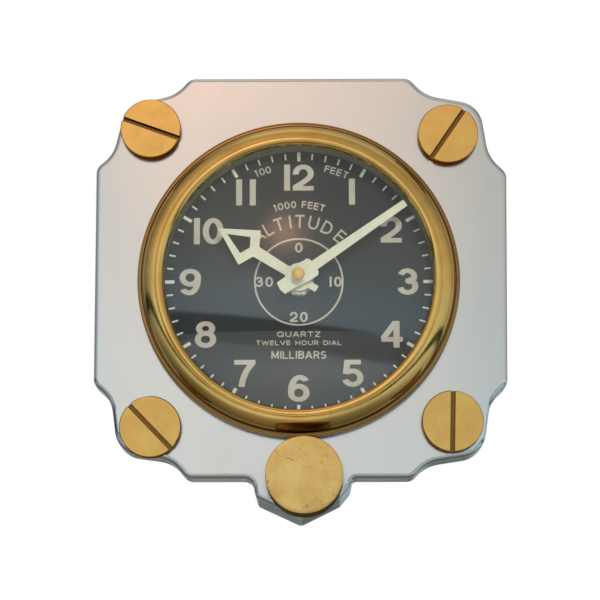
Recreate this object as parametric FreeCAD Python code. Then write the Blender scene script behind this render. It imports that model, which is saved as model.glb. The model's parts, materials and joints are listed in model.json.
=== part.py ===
"""Instrument-style wall clock: cast aluminium case, brass bezel, domed glass, quartz movement.

Frame, in millimetres: +Z up, +X to the right as the reader of the dial sees it, and the dial
faces -Y. The origin is on the axis of the hands, in the plane of the wall (y = 0), so every
part of the clock has y below or near zero. Depths are written as y values, front first.
"""
import FreeCAD, Part
import math
import os

from FreeCAD import Vector

# ---- driving dimensions -----------------------------------------------------------------

# case casting
CASE_DEPTH = 40.0
FLANGE_DEPTH = 15.0
FRONT = -CASE_DEPTH
FLANGE_BACK = FRONT + FLANGE_DEPTH
EDGE_ROUND = 2.3
REAR_RING_OUTER = 77.0
REAR_RING_INNER = 72.5
COVER_THICKNESS = 1.5
LEDGE_INNER = 60.0
SEAT_Y = FRONT + 5.2
SPIGOT_PLAY = 0.05
COVER_SCREW_RADIUS = 1.25

# corner screws
CORNER_SCREWS = ((-72.6, 75.3, -20.0), (73.1, 72.3, 56.0), (-70.9, -72.2, -46.0), (73.5, -69.7, 88.5))
SCREW_HEAD_RADIUS = 14.76
SCREW_HEAD_HEIGHT = 4.9
SCREW_SLOT_WIDTH = 2.4
SCREW_SLOT_DEPTH = 2.4
SCREW_SHANK_RADIUS = 3.95
SCREW_SHANK_LENGTH = 11.0

# bezel, glass and dial
BEZEL_OUTER = 78.0
BEZEL_OPENING = 65.0
SPIGOT_OUTER = 71.6
SPIGOT_INNER = 67.6
LIP_UNDERSIDE = 11.1
GLASS_EDGE = 67.0
GLASS_RADIUS = 225.0
GLASS_THICKNESS = 2.0
GLASS_APEX = 20.6
GASKET_FRONT = 8.25
GASKET_BACK = 7.4
REHAUT_INNER = 65.2
REHAUT_OUTER = 67.4
DIAL_RADIUS = 67.3
DIAL_THICKNESS = 1.0
DIAL_FRONT = SEAT_Y - DIAL_THICKNESS
BEZEL_SCREW_RADIUS = 69.6
BEZEL_SCREW_HOLE = 1.35

# hands
HOUR_ANGLE = 302.3
MINUTE_ANGLE = 54.9
HAND_THICKNESS = 0.6
HOUR_HAND_Y = DIAL_FRONT - 9.2
MINUTE_HAND_Y = DIAL_FRONT - 12.8
HOUR_TUBE_OUTER = 2.75
HOUR_TUBE_INNER = 1.83
MINUTE_TUBE_OUTER = 1.75
CAP_RADIUS = 2.95
CAP_TOP = DIAL_FRONT - 19.4

# movement
MOVEMENT_HALF = 28.0
MOVEMENT_WALL = 1.0
CUSHION_THICKNESS = 1.0
MOVEMENT_FRONT = SEAT_Y + CUSHION_THICKNESS
MOVEMENT_DEPTH = 16.0
MOVEMENT_BACK = MOVEMENT_FRONT + MOVEMENT_DEPTH
BUSH_RADIUS = 3.95
BUSH_BORE = 2.83
BUSH_END = DIAL_FRONT - 6.5
DIVIDER_Z = -11.5
PIVOT_RADIUS = 0.4
PIVOT_PLAY = 0.06
PIVOT_DEPTH = 0.5

# gears: module of each meshing pair
MODULE_MINUTE = 0.30
MODULE_HOUR = 0.24
MODULE_CENTRE = 8.5 / 36.0
MODULE_THIRD = 8.5 / 34.0
MODULE_SECONDS = 0.20
MODULE_ROTOR = 0.22

# battery, a standard AA cell lying across the bottom of the movement
CELL_RADIUS = 7.1
CELL_LENGTH = 49.2
CELL_Z = -19.6
CELL_Y = MOVEMENT_FRONT + 8.4

# knob
KNOB_X = 2.8
KNOB_Z = -97.2
KNOB_RADIUS = 18.3
KNOB_FRONT = FRONT - 20.5
KNOB_BACK = FRONT - 1.6
KNOB_SHAFT_RADIUS = 3.0
KNOB_BUSH_RADIUS = 5.0
CLIP_POCKET_RADIUS = 8.0
CLIP_POCKET_DEPTH = 4.0


# ---- small helpers ----------------------------------------------------------------------

def save(shape, name):
    shape.exportStep("parts/" + name + ".step")


def rod(radius, y0, y1, x=0.0, z=0.0):
    """Solid cylinder along Y."""
    return Part.makeCylinder(radius, y1 - y0, Vector(x, y0, z), Vector(0, 1, 0))


def ring(outer, inner, y0, y1, x=0.0, z=0.0):
    """Tube along Y."""
    return rod(outer, y0, y1, x, z).cut(rod(inner, y0 - 1.0, y1 + 1.0, x, z))


def block(x0, x1, y0, y1, z0, z1):
    return Part.makeBox(x1 - x0, y1 - y0, z1 - z0, Vector(x0, y0, z0))


def lathe(start, steps):
    """Turn a closed (radius, y) profile about Y. A step is a point, or (through, end) for an arc."""
    edges = []
    here = Vector(start[0], start[1], 0)
    for step in steps + [start]:
        if isinstance(step[0], tuple):
            through = Vector(step[0][0], step[0][1], 0)
            end = Vector(step[1][0], step[1][1], 0)
            edges.append(Part.Arc(here, through, end).toShape())
        else:
            end = Vector(step[0], step[1], 0)
            edges.append(Part.makeLine(here, end))
        here = end
    return Part.Face(Part.Wire(edges)).revolve(Vector(0, 0, 0), Vector(0, 1, 0), 360)


def rounded_outline(corners, y):
    """Closed wire at depth y through (x, z, radius) corners, each turned with a tangent arc."""
    edges = []
    ends = []
    count = len(corners)
    for i in range(count):
        point = Vector(corners[i][0], y, corners[i][1])
        before = Vector(corners[i - 1][0], y, corners[i - 1][1])
        after = Vector(corners[(i + 1) % count][0], y, corners[(i + 1) % count][1])
        radius = corners[i][2]
        back = (before - point).normalize()
        ahead = (after - point).normalize()
        half = back.getAngle(ahead) / 2
        if radius == 0:
            ends.append((point, point))
            continue
        reach = radius / math.tan(half)
        start = point + back * reach
        end = point + ahead * reach
        bisector = (back + ahead).normalize()
        middle = point + bisector * (radius / math.sin(half) - radius)
        edges.append(Part.Arc(start, middle, end).toShape())
        ends.append((start, end))
    for i in range(count):
        start = ends[i][1]
        end = ends[(i + 1) % count][0]
        edges.append(Part.makeLine(start, end))
    return Part.Wire(Part.__sortEdges__(edges))


def plate(corners, y0, y1):
    """Flat plate with a rounded outline, from y0 to y1."""
    face = Part.Face(rounded_outline(corners, y0))
    return face.extrude(Vector(0, y1 - y0, 0))


def mirrored(corners):
    """Corners of the right half, top to bottom, followed by their mirror images."""
    left = [(-x, z, radius) for x, z, radius in reversed(corners)]
    return corners + left


def turned(shape, clockwise):
    """Turn a shape about the hand axis, clockwise as the dial is read."""
    copy = shape.copy()
    copy.rotate(Vector(0, 0, 0), Vector(0, 1, 0), clockwise)
    return copy


def polar(radius, degrees):
    """(x, z) at a radius and an angle counted from +X towards +Z."""
    angle = math.radians(degrees)
    return radius * math.cos(angle), radius * math.sin(angle)


def gear(teeth, module, y0, y1, centre=(0.0, 0.0), phase=0.0):
    """Spur gear with thin trapezoid teeth; one tooth is centred at the phase angle (radians)."""
    pitch_radius = module * teeth / 2
    root = pitch_radius - 1.0 * module
    tip = pitch_radius + 0.7 * module
    step = 2 * math.pi / teeth
    points = []
    for i in range(teeth):
        middle = phase + i * step
        for radius, offset in ((root, -0.26), (tip, -0.09), (tip, 0.09), (root, 0.26)):
            angle = middle + offset * step
            x = centre[0] + radius * math.cos(angle)
            z = centre[1] + radius * math.sin(angle)
            points.append(Vector(x, y0, z))
    points.append(points[0])
    return Part.Face(Part.makePolygon(points)).extrude(Vector(0, y1 - y0, 0))


def mesh_phase(from_centre, to_centre, from_teeth, to_teeth, from_phase=0.0):
    """Phase of the second gear that sets its teeth into the gaps of the first."""
    toward = math.atan2(to_centre[1] - from_centre[1], to_centre[0] - from_centre[0])
    from_step = 2 * math.pi / from_teeth
    to_step = 2 * math.pi / to_teeth
    place = (toward - from_phase) / from_step
    return toward + math.pi - to_step * (0.5 - place)


# ---- where the gear arbors stand --------------------------------------------------------

CENTRE = (0.0, 0.0)
THIRD = polar(8.5, 150.0)
MOTION = polar(7.2, 30.0)
SET = (MOTION[0] + 7.2, MOTION[1])
INTERMEDIATE = polar(7.0, 75.0)
ROTOR = (INTERMEDIATE[0] + 5.28 * math.cos(math.radians(60)),
         INTERMEDIATE[1] + 5.28 * math.sin(math.radians(60)))
BACK_INNER = MOVEMENT_BACK - 1.0
FRONT_INNER = MOVEMENT_FRONT + MOVEMENT_WALL
MIDDLE_PLATE_Y = -29.1
MIDDLE_PLATE_THICKNESS = 0.6
MIDDLE_POSTS = ((-12.0, -8.0), (10.0, -8.4), (-12.0, 14.0), (10.0, 15.0))


# ---- case -------------------------------------------------------------------------------

def case_outline():
    """Square with four swollen corners, and the pointed tongue under the knob.

    The casting was dressed by hand, so its two sides differ by a millimetre or two.
    """
    right = [(54.3, 102.3, 6), (62.3, 93.6, 18), (89.1, 88.6, 13), (93.2, 62.3, 18), (101.8, 53.8, 6),
             (100.4, -51.2, 6), (92.0, -59.0, 18), (88.2, -84.9, 13), (61.2, -89.1, 18), (54.2, -96.5, 6)]
    tongue = [(25.6, -96.5, 3), (24.6, -100.2, 4), (19.8, -106.0, 4), (0.8, -115.4, 3),
              (-20.4, -105.6, 3), (-22.2, -96.5, 5)]
    left = [(-53.4, -96.5, 6), (-60.9, -87.5, 15), (-86.8, -83.9, 13), (-90.2, -58.1, 15), (-98.8, -50.8, 6),
            (-99.4, 57.0, 6), (-91.4, 63.2, 18), (-85.4, 88.4, 13), (-60.6, 94.2, 18), (-53.6, 102.3, 6)]
    return right + tongue + left


def tongue_outline():
    """The tongue alone, run up behind the flange to meet the rear ring."""
    return [(25.6, -74.0, 0), (25.6, -96.5, 0), (24.6, -100.2, 4), (19.8, -106.0, 4), (0.8, -115.4, 3),
            (-20.4, -105.6, 3), (-22.2, -96.5, 0), (-22.2, -74.0, 0)]


def rear_cover_screw_places():
    radius = (REAR_RING_OUTER + REAR_RING_INNER) / 2
    return [polar(radius, angle) for angle in (45, 135, 225, 315)]


def bezel_screw_places():
    return [polar(BEZEL_SCREW_RADIUS, angle) for angle in (0, 90, 180, 270)]


def case_casting():
    """Front of the casting: its thick flange, with the bezel's seat and the dial's ledge."""
    body = plate(case_outline(), FRONT, FLANGE_BACK)
    rim = [edge for edge in body.Edges if abs(edge.BoundBox.YMax - FRONT) < 1e-6]
    body = body.makeFillet(EDGE_ROUND, rim)
    body = body.cut(rod(SPIGOT_OUTER + SPIGOT_PLAY, FRONT - 1, SEAT_Y))
    body = body.cut(rod(LEDGE_INNER, FRONT - 1, 1.0))
    for x, z, _ in CORNER_SCREWS:
        body = body.cut(rod(SCREW_SHANK_RADIUS, FRONT - 1, FRONT + SCREW_SHANK_LENGTH + 1, x, z))
    for x, z in bezel_screw_places():
        body = body.cut(rod(BEZEL_SCREW_HOLE, SEAT_Y - 1, FLANGE_BACK + 1, x, z))
    return body.cut(rod(KNOB_BUSH_RADIUS, FRONT - 1, 1.0, KNOB_X, KNOB_Z))


def case_drum():
    """Round wall of the casting behind the flange. It takes the rear cover's screws."""
    body = ring(REAR_RING_OUTER, REAR_RING_INNER, FLANGE_BACK, -COVER_THICKNESS)
    for x, z in rear_cover_screw_places():
        body = body.cut(rod(COVER_SCREW_RADIUS, -10.0, 1.0, x, z))
    return body


def case_tongue():
    """The casting's tongue behind the flange, as deep as the case, with the knob's bore."""
    body = plate(tongue_outline(), FLANGE_BACK, 0.0)
    body = body.cut(rod(REAR_RING_OUTER, FLANGE_BACK - 1, -COVER_THICKNESS))
    body = body.cut(rod(REAR_RING_OUTER + 0.1, -COVER_THICKNESS - 0.1, 1.0))
    body = body.cut(rod(KNOB_BUSH_RADIUS, FLANGE_BACK - 1, 1.0, KNOB_X, KNOB_Z))
    return body.cut(rod(CLIP_POCKET_RADIUS, -CLIP_POCKET_DEPTH, 1.0, KNOB_X, KNOB_Z))


def corner_screw(x, z, slot_angle):
    head = rod(SCREW_HEAD_RADIUS, FRONT - SCREW_HEAD_HEIGHT, FRONT, x, z)
    front_edge = [edge for edge in head.Edges if edge.BoundBox.YMax < FRONT - SCREW_HEAD_HEIGHT + 0.01]
    head = head.makeChamfer(0.4, front_edge)
    shank = rod(SCREW_SHANK_RADIUS, FRONT - 1, FRONT + SCREW_SHANK_LENGTH, x, z)
    slot = block(-SCREW_HEAD_RADIUS - 1, SCREW_HEAD_RADIUS + 1,
                 FRONT - SCREW_HEAD_HEIGHT - 1, FRONT - SCREW_HEAD_HEIGHT + SCREW_SLOT_DEPTH,
                 -SCREW_SLOT_WIDTH / 2, SCREW_SLOT_WIDTH / 2)
    slot = turned(slot, -slot_angle)
    slot.translate(Vector(x, 0, z))
    return head.fuse(shank).cut(slot).removeSplitter()


def countersunk_screw(x, z, y_face, length, shank, head):
    """Flat-head screw whose head is flush at y_face and whose point is toward -Y."""
    cone = Part.makeCone(shank, head, head - shank, Vector(x, y_face - (head - shank), z), Vector(0, 1, 0))
    slot = block(x - 0.3, x + 0.3, y_face - 0.6, y_face + 1, z - head - 1, z + head + 1)
    body = cone.fuse(rod(shank, y_face - length, y_face - (head - shank), x, z))
    return body.cut(slot)


def pan_screw(x, z, y_seat, length, shank, head, height):
    """Cheese-head screw driven toward -Y, its head standing behind y_seat."""
    body = rod(shank, y_seat - length, y_seat, x, z).fuse(rod(head, y_seat, y_seat + height, x, z))
    slot = block(x - 0.35, x + 0.35, y_seat + height - 0.7, y_seat + height + 1, z - head - 1, z + head + 1)
    return body.cut(slot)


def keyhole(x, z, y0, y1, big, small, rise):
    """Keyhole opening: a round hole with a narrower slot running up from it."""
    hole = rod(big, y0, y1, x, z)
    hole = hole.fuse(block(x - small, x + small, y0, y1, z, z + rise))
    return hole.fuse(rod(small, y0, y1, x, z + rise))


def rear_cover():
    disc = rod(REAR_RING_OUTER, -COVER_THICKNESS, 0.0)
    window = [(31, 31, 5), (31, -31, 5), (-31, -31, 5), (-31, 31, 5)]
    disc = disc.cut(plate(window, -COVER_THICKNESS - 1, 1.0))
    disc = disc.cut(plate([(13, 65, 4), (13, 47, 4), (-13, 47, 4), (-13, 65, 4)], -COVER_THICKNESS - 1, 1.0))
    for x, z in rear_cover_screw_places():
        disc = disc.cut(Part.makeCone(1.25, 2.75, 1.5, Vector(x, -COVER_THICKNESS, z), Vector(0, 1, 0)))
    for x in (-18.0, 18.0):
        disc = disc.cut(rod(1.5, -COVER_THICKNESS - 1, 1.0, x, 56.0))
    return disc


def hanger_plate():
    corners = [(23, 68, 3), (23, 44, 3), (-23, 44, 3), (-23, 68, 3)]
    body = plate(corners, -COVER_THICKNESS - 1.5, -COVER_THICKNESS)
    body = body.cut(keyhole(0, 52.5, -10, 10, 4.5, 2.25, 7.5))
    for x in (-18.0, 18.0):
        body = body.cut(rod(1.5, -10, 10, x, 56.0))
    return body


def hanger_rivet(x, z):
    shank = rod(1.5, -COVER_THICKNESS - 1.5, -0.1, x, z)
    head = Part.makeSphere(3.2, Vector(x, -COVER_THICKNESS - 0.2, z))
    head = head.common(rod(3.0, -COVER_THICKNESS - 3.4, -COVER_THICKNESS - 1.5, x, z))
    return head.fuse(shank).removeSplitter()


# ---- bezel, glass and dial --------------------------------------------------------------

def at(radius, height):
    """(radius, y) of a point that stands a height in front of the case's front face."""
    return radius, FRONT - height


def bezel_ring():
    front = [
        at(BEZEL_OPENING, LIP_UNDERSIDE),
        at(BEZEL_OPENING, 11.5),
        (at(65.8, 12.7), at(67.5, 13.2)),
        at(68.7, 13.1),
        at(68.85, 12.8),
        at(69.05, 12.8),
        at(69.2, 13.0),
        (at(73.4, 10.9), at(75.3, 6.4)),
        at(75.4, 4.2),
        at(76.0, 4.2),
        at(76.1, 5.0),
        at(77.6, 5.0),
        at(BEZEL_OUTER, 4.6),
        at(BEZEL_OUTER, 0.6),
        at(77.3, 0.5),
        at(77.3, 0.0),
        at(SPIGOT_OUTER, 0.0),
        (SPIGOT_OUTER, SEAT_Y),
        (SPIGOT_INNER, SEAT_Y),
    ]
    body = lathe(at(SPIGOT_INNER, LIP_UNDERSIDE), front)
    for x, z in bezel_screw_places():
        body = body.cut(rod(1.25, SEAT_Y - 4.6, SEAT_Y + 1, x, z))
    return body


def bezel_screws():
    return [pan_screw(x, z, FLANGE_BACK, 14.0, 1.25, 2.6, 1.8) for x, z in bezel_screw_places()]


def sphere_height(radius, sphere_radius, apex):
    """Height of a sphere's surface in front of the case at a radius from the axis."""
    return apex - (sphere_radius - math.sqrt(sphere_radius ** 2 - radius ** 2))


def glass_lens():
    inner_radius = GLASS_RADIUS - GLASS_THICKNESS
    inner_apex = GLASS_APEX - GLASS_THICKNESS
    half = GLASS_EDGE / 2
    outer_edge = at(GLASS_EDGE, sphere_height(GLASS_EDGE, GLASS_RADIUS, GLASS_APEX))
    outer_half = at(half, sphere_height(half, GLASS_RADIUS, GLASS_APEX))
    inner_edge = at(GLASS_EDGE, sphere_height(GLASS_EDGE, inner_radius, inner_apex))
    inner_half = at(half, sphere_height(half, inner_radius, inner_apex))
    points = [at(0, GLASS_APEX), outer_half, outer_edge, inner_edge, inner_half, at(0, inner_apex)]
    apex, outer_mid, outer_rim, inner_rim, inner_mid, hollow = [Vector(r, y, 0) for r, y in points]
    wire = Part.Wire([
        Part.Arc(apex, outer_mid, outer_rim).toShape(),
        Part.makeLine(outer_rim, inner_rim),
        Part.Arc(inner_rim, inner_mid, hollow).toShape(),
        Part.makeLine(hollow, apex),
    ])
    return Part.Face(wire).revolve(Vector(0, 0, 0), Vector(0, 1, 0), 360)


def glass_gasket():
    return ring(REHAUT_OUTER, REHAUT_INNER, FRONT - GASKET_FRONT, FRONT - GASKET_BACK)


def rehaut_ring():
    return ring(REHAUT_OUTER, REHAUT_INNER, FRONT - GASKET_BACK, DIAL_FRONT)


def dial_plate():
    return ring(DIAL_RADIUS, BUSH_RADIUS + 0.1, DIAL_FRONT, SEAT_Y)


# ---- hands ------------------------------------------------------------------------------

def hour_hand():
    """Arrow-headed hand with a kite-shaped window, drawn pointing at twelve."""
    y0 = HOUR_HAND_Y
    y1 = HOUR_HAND_Y + HAND_THICKNESS
    head = plate(mirrored([(0.15, 45.7, 0), (10.0, 28.0, 0), (2.75, 24.2, 0), (2.3, 5.0, 0)]), y0, y1)
    window = plate([(0, 40.9, 0), (4.75, 30.4, 0), (0, 27.9, 0), (-4.75, 30.4, 0)], y0 - 1, y1 + 1)
    tail = plate(mirrored([(2.1, 0, 0), (1.55, -10.4, 0)]), y0, y1)
    collet = ring(4.2, HOUR_TUBE_OUTER, y1, y1 + 1.2)
    body = head.cut(window).fuse(tail).fuse(rod(6.5, y0, y1)).fuse(collet)
    body = body.cut(rod(HOUR_TUBE_OUTER, y0 - 1, y1 + 3))
    return turned(body.removeSplitter(), HOUR_ANGLE)


def minute_hand():
    """Straight hand with a broad hub plate, drawn pointing at twelve."""
    y0 = MINUTE_HAND_Y
    y1 = MINUTE_HAND_Y + HAND_THICKNESS
    blade = plate(mirrored([(1.75, 63.0, 0), (2.45, 9.0, 0)]), y0, y1)
    hub = plate(mirrored([(3.6, 9.3, 0), (4.9, 8.1, 0), (4.9, 4.6, 0), (3.45, -5.8, 0), (3.4, -10.2, 0),
                          (0.4, -10.9, 0)]), y0, y1)
    body = blade.fuse(hub)
    boss = ring(4.35, MINUTE_TUBE_OUTER, y1, y1 + 0.8)
    body = body.fuse(boss).cut(rod(MINUTE_TUBE_OUTER, y0 - 1, y1 + 3))
    return turned(body.removeSplitter(), MINUTE_ANGLE)


def cap_nut():
    """Closed brass nut with a domed top, screwed on the end of the minute tube."""
    bottom = MINUTE_HAND_Y
    shoulder = bottom - 1.8
    rise = 1.6
    dome_radius = (CAP_RADIUS ** 2 + rise ** 2) / (2 * rise)
    half = CAP_RADIUS / 2
    through = (half, CAP_TOP + dome_radius - math.sqrt(dome_radius ** 2 - half ** 2))
    body = lathe((0, bottom), [(2.5, bottom), (2.5, shoulder), (CAP_RADIUS, shoulder - 0.3),
                               (CAP_RADIUS, CAP_TOP + rise), (through, (0, CAP_TOP))])
    return body.cut(rod(1.4, bottom - 3.0, bottom + 1))


# ---- motion works -----------------------------------------------------------------------

HOUR_WHEEL_Y = (-32.1, -31.5)
MINUTE_PINION_Y = (-31.3, -30.5)
MOTION_WHEEL_Y = (-31.2, -30.6)
PHASE_MOTION = mesh_phase(CENTRE, MOTION, 12, 36)
PHASE_MOTION_PINION = mesh_phase(CENTRE, MOTION, 48, 12)


def hour_wheel():
    body = gear(48, MODULE_HOUR, HOUR_WHEEL_Y[0], HOUR_WHEEL_Y[1])
    body = body.fuse(rod(HOUR_TUBE_OUTER, HOUR_HAND_Y - 0.1, HOUR_WHEEL_Y[0]))
    return body.cut(rod(HOUR_TUBE_INNER, HOUR_HAND_Y - 1, 0))


def minute_pinion():
    """Cannon pinion: a tube that carries the minute hand, and twelve leaves for the motion wheel."""
    body = gear(12, MODULE_MINUTE, MINUTE_PINION_Y[0], MINUTE_PINION_Y[1])
    body = body.fuse(rod(MINUTE_TUBE_OUTER, MINUTE_HAND_Y, MINUTE_PINION_Y[0]))
    body = body.fuse(rod(1.4, MINUTE_HAND_Y - 2.8, MINUTE_HAND_Y))
    body = body.fuse(rod(1.2, MINUTE_PINION_Y[1], -29.2))
    return body.cut(rod(PIVOT_RADIUS + PIVOT_PLAY, -34.0, -29.0))


def motion_wheel():
    x, z = MOTION
    body = gear(36, MODULE_MINUTE, MOTION_WHEEL_Y[0], MOTION_WHEEL_Y[1], MOTION, PHASE_MOTION)
    body = body.fuse(gear(12, MODULE_HOUR, -32.2, MOTION_WHEEL_Y[0], MOTION, PHASE_MOTION_PINION))
    return body.cut(rod(0.62, -33.0, -30.0, x, z))


def set_wheel():
    """Time-setting wheel: a pinion inside the movement and a knurled thumb wheel behind it."""
    x, z = SET
    phase = mesh_phase(MOTION, SET, 36, 12, PHASE_MOTION)
    body = gear(12, MODULE_MINUTE, MINUTE_PINION_Y[0], MINUTE_PINION_Y[1], SET, phase)
    body = body.fuse(rod(PIVOT_RADIUS, FRONT_INNER - PIVOT_DEPTH, MINUTE_PINION_Y[0], x, z))
    body = body.fuse(rod(1.0, MINUTE_PINION_Y[1], MOVEMENT_BACK + 2.4, x, z))
    thumb = rod(4.6, MOVEMENT_BACK + 0.4, MOVEMENT_BACK + 2.4, x, z)
    for i in range(20):
        notch_x, notch_z = polar(4.8, i * 18.0)
        thumb = thumb.cut(rod(0.4, MOVEMENT_BACK, MOVEMENT_BACK + 3, x + notch_x, z + notch_z))
    return body.fuse(thumb)


# ---- going train ------------------------------------------------------------------------

CENTRE_WHEEL_Y = (-30.1, -29.5)
THIRD_PINION_Y = (-30.2, -29.4)
THIRD_WHEEL_Y = (-28.2, -27.6)
SECONDS_PINION_Y = (-28.3, -27.5)
SECONDS_WHEEL_Y = (-27.1, -26.5)
INTERMEDIATE_PINION_Y = (-27.2, -26.4)
INTERMEDIATE_WHEEL_Y = (-26.1, -25.5)
ROTOR_PINION_Y = (-26.2, -25.4)
MAGNET_Y = (-23.6, -21.6)


def arbor(centre, y0, y1):
    return rod(PIVOT_RADIUS, y0, y1, centre[0], centre[1])


def centre_wheel():
    return gear(64, MODULE_CENTRE, CENTRE_WHEEL_Y[0], CENTRE_WHEEL_Y[1]).cut(rod(1.25, -31, -29))


def third_wheel():
    pinion_phase = mesh_phase(CENTRE, THIRD, 64, 8)
    wheel_phase = mesh_phase(CENTRE, THIRD, 8, 60)
    body = gear(8, MODULE_CENTRE, THIRD_PINION_Y[0], THIRD_PINION_Y[1], THIRD, pinion_phase)
    body = body.fuse(gear(60, MODULE_THIRD, THIRD_WHEEL_Y[0], THIRD_WHEEL_Y[1], THIRD, wheel_phase))
    return body.fuse(arbor(THIRD, FRONT_INNER - PIVOT_DEPTH, BACK_INNER + PIVOT_DEPTH - 0.1))


def seconds_wheel():
    body = gear(8, MODULE_THIRD, SECONDS_PINION_Y[0], SECONDS_PINION_Y[1])
    body = body.fuse(gear(60, MODULE_SECONDS, SECONDS_WHEEL_Y[0], SECONDS_WHEEL_Y[1]))
    return body.fuse(arbor(CENTRE, -33.0, BACK_INNER + PIVOT_DEPTH - 0.1))


def intermediate_wheel():
    pinion_phase = mesh_phase(CENTRE, INTERMEDIATE, 60, 10)
    front, back = INTERMEDIATE_PINION_Y
    body = gear(10, MODULE_SECONDS, front, back, INTERMEDIATE, pinion_phase)
    front, back = INTERMEDIATE_WHEEL_Y
    body = body.fuse(gear(40, MODULE_ROTOR, front, back, INTERMEDIATE))
    return body.fuse(arbor(INTERMEDIATE, MIDDLE_PLATE_Y + 0.1, BACK_INNER + PIVOT_DEPTH - 0.1))


def rotor_pinion():
    phase = mesh_phase(INTERMEDIATE, ROTOR, 40, 8)
    body = gear(8, MODULE_ROTOR, ROTOR_PINION_Y[0], ROTOR_PINION_Y[1], ROTOR, phase)
    body = body.fuse(arbor(ROTOR, MIDDLE_PLATE_Y + 0.1, BACK_INNER + PIVOT_DEPTH - 0.1))
    return body.fuse(rod(0.8, MAGNET_Y[0], MAGNET_Y[1], ROTOR[0], ROTOR[1]))


def rotor_magnet():
    return ring(2.4, 0.8, MAGNET_Y[0], MAGNET_Y[1], ROTOR[0], ROTOR[1])


# ---- movement ---------------------------------------------------------------------------

def movement_front_case():
    half = MOVEMENT_HALF
    outer = [(half, half, 3), (half, -half, 3), (-half, -half, 3), (-half, half, 3)]
    inner_half = half - MOVEMENT_WALL
    inner = [(inner_half, inner_half, 2), (inner_half, -inner_half, 2),
             (-inner_half, -inner_half, 2), (-inner_half, inner_half, 2)]
    body = plate(outer, MOVEMENT_FRONT, MOVEMENT_BACK)
    body = body.cut(plate(inner, FRONT_INNER, MOVEMENT_BACK + 1))
    body = body.fuse(block(-inner_half, inner_half, FRONT_INNER, MOVEMENT_BACK, DIVIDER_Z, DIVIDER_Z + 1))
    body = body.cut(rod(BUSH_RADIUS, MOVEMENT_FRONT - 1, FRONT_INNER + 1))
    for x, z in MIDDLE_POSTS:
        body = body.fuse(rod(1.3, FRONT_INNER - 0.2, MIDDLE_PLATE_Y, x, z))
        body = body.fuse(rod(0.6, MIDDLE_PLATE_Y - 0.2, MIDDLE_PLATE_Y + 1.2, x, z))
    body = body.fuse(rod(0.55, FRONT_INNER - 0.2, MOTION_WHEEL_Y[1], MOTION[0], MOTION[1]))
    for centre in (THIRD, SET):
        socket = rod(PIVOT_RADIUS + PIVOT_PLAY, FRONT_INNER - 0.6, FRONT_INNER + 0.1, centre[0], centre[1])
        body = body.cut(socket)
    return body.removeSplitter()


def movement_back_cover():
    edge = MOVEMENT_HALF - MOVEMENT_WALL
    body = block(-edge, edge, BACK_INNER, MOVEMENT_BACK, DIVIDER_Z + 1, edge)
    corners = [(edge, edge, 2), (edge, -edge, 2), (-edge, -edge, 2), (-edge, edge, 2)]
    outline = rounded_outline(corners, BACK_INNER - 1)
    body = body.common(Part.Face(outline).extrude(Vector(0, 4, 0)))
    for centre in (CENTRE, THIRD, INTERMEDIATE, ROTOR):
        deep = BACK_INNER + PIVOT_DEPTH
        body = body.cut(rod(PIVOT_RADIUS + PIVOT_PLAY, BACK_INNER - 1, deep, centre[0], centre[1]))
    return body.cut(rod(1.06, BACK_INNER - 1, MOVEMENT_BACK + 1, SET[0], SET[1]))


def middle_plate():
    y1 = MIDDLE_PLATE_Y + MIDDLE_PLATE_THICKNESS
    body = plate([(12.0, 17.0, 2), (12.0, -10.4, 2), (-14.0, -10.4, 2), (-14.0, 16.0, 2)], MIDDLE_PLATE_Y, y1)
    for x, z in MIDDLE_POSTS:
        body = body.cut(rod(0.62, MIDDLE_PLATE_Y - 1, y1 + 1, x, z))
    for centre in (CENTRE, THIRD, INTERMEDIATE, ROTOR):
        body = body.cut(rod(PIVOT_RADIUS + PIVOT_PLAY, MIDDLE_PLATE_Y - 1, y1 + 1, centre[0], centre[1]))
    return body


def fixing_bush():
    """Threaded brass tube that clamps the movement to the dial and guides the hour tube."""
    tube = ring(BUSH_RADIUS, BUSH_BORE, BUSH_END, FRONT_INNER)
    return tube.fuse(ring(6.0, BUSH_BORE, FRONT_INNER, FRONT_INNER + 0.5))


def cushion_washer():
    return ring(12.0, BUSH_RADIUS + 0.1, SEAT_Y, MOVEMENT_FRONT)


def fixing_washer():
    return ring(7.3, BUSH_RADIUS + 0.1, DIAL_FRONT - 0.5, DIAL_FRONT)


def fixing_nut():
    """Hexagon nut, 11.6 mm across flats, with a flat downwards."""
    radius = 5.8 / math.cos(math.pi / 6)
    y0 = DIAL_FRONT - 3.1
    y1 = DIAL_FRONT - 0.5
    corners = [(radius * math.cos(i * math.pi / 3), radius * math.sin(i * math.pi / 3), 0) for i in range(6)]
    hexagon = plate(corners, y0, y1)
    bevel = Part.makeCone(5.7, 5.7 + (y1 - y0), y1 - y0, Vector(0, y0, 0), Vector(0, 1, 0))
    return hexagon.common(bevel).cut(rod(BUSH_RADIUS, y0 - 1, y1 + 1))


STATOR_Y = (-23.0, -22.2)
CORE_Y = (-22.2, -21.4)
COIL_X = (-4.6, 12.6)
COIL_Z = 20.9
COIL_Y = (CORE_Y[0] + CORE_Y[1]) / 2


def stator_plate():
    body = block(-9, 17, STATOR_Y[0], STATOR_Y[1], 7.9, 15)
    for x0 in (-9, 13):
        body = body.fuse(block(x0, x0 + 4, STATOR_Y[0], STATOR_Y[1], 14, 23.5))
    return body.cut(rod(2.9, -24, -21, ROTOR[0], ROTOR[1])).removeSplitter()


def coil_core():
    return block(-9, 17, CORE_Y[0], CORE_Y[1], COIL_Z - 1.2, COIL_Z + 1.2)


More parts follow.
